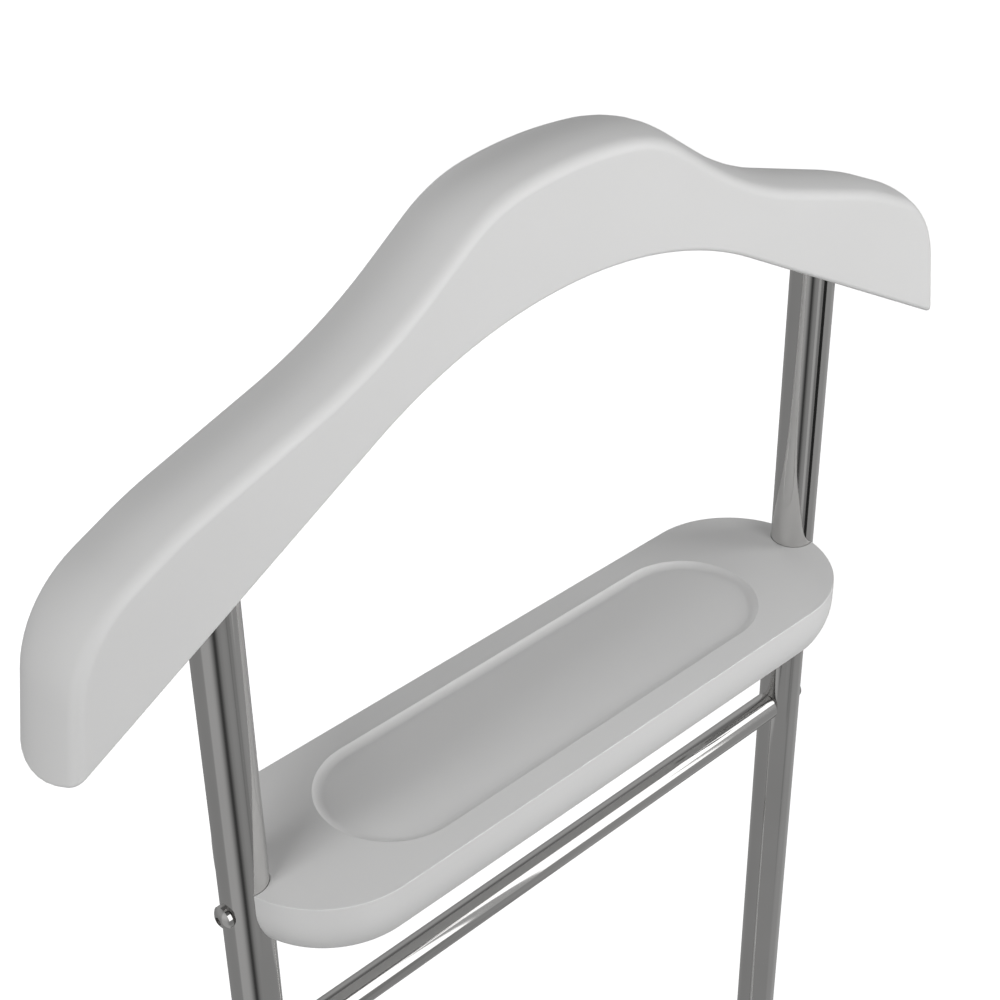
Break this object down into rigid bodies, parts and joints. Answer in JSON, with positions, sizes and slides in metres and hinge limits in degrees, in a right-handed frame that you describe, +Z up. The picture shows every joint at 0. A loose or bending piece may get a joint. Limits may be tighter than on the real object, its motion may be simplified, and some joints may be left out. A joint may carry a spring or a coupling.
{
  "type": "clothes valet chair",
  "caption": "Freestanding clothes valet chair: shaped hanger board, small tray and trouser bar on tall posts, with a seat on bent tube legs, a shoe rack and floor runners.",
  "frame": {"origin": "centre of the bounding box in plan, on the floor", "axes": "+Z up, -Y to the front, where the seat is, +X to the right seen from the front"},
  "size_m": [0.456, 0.446, 1.0792],
  "materials": {
    "lacquered_board": "satin white lacquer on fibreboard",
    "chromed_tube": "polished",
    "chromed_screw": "polished",
    "zinc_steel": "zinc plated",
    "black_plastic": "matte"
  },
  "bodies": {
    "root": {"hanger": "lacquered_board", "tray": "lacquered_board", "seat": "lacquered_board", "post_left": "chromed_tube", "post_right": "chromed_tube", "front_leg_left": "chromed_tube", "front_leg_right": "chromed_tube", "runner_left": "chromed_tube", "runner_right": "chromed_tube", "trouser_bar": "chromed_tube", "front_crossbar": "chromed_tube", "rack_side_left": "chromed_tube", "rack_side_right": "chromed_tube", "shoe_rod_front": "chromed_tube", "shoe_rod_middle": "chromed_tube", "shoe_rod_rear": "chromed_tube", "trouser_bar_inserts": "zinc_steel", "crossbar_inserts": "zinc_steel", "rack_inserts": "zinc_steel", "rail_inserts": "zinc_steel", "post_inserts": "zinc_steel", "leg_inserts": "zinc_steel", "tray_barrel_nuts": "zinc_steel", "trouser_bar_screws": "chromed_screw", "tray_screws": "chromed_screw", "hanger_screws": "chromed_screw", "rail_screws": "chromed_screw", "crossbar_screws": "chromed_screw", "rack_front_screws": "chromed_screw", "rack_rear_screws": "chromed_screw", "seat_screws": "chromed_screw", "runner_screws": "chromed_screw", "seat_spacers": "black_plastic", "runner_cap_front_left": "black_plastic", "runner_cap_front_right": "black_plastic", "runner_cap_rear_left": "black_plastic", "runner_cap_rear_right": "black_plastic", "foot_pad_front_left": "black_plastic", "foot_pad_front_right": "black_plastic", "foot_pad_rear_left": "black_plastic", "foot_pad_rear_right": "black_plastic"}
  },
  "joints": []
}
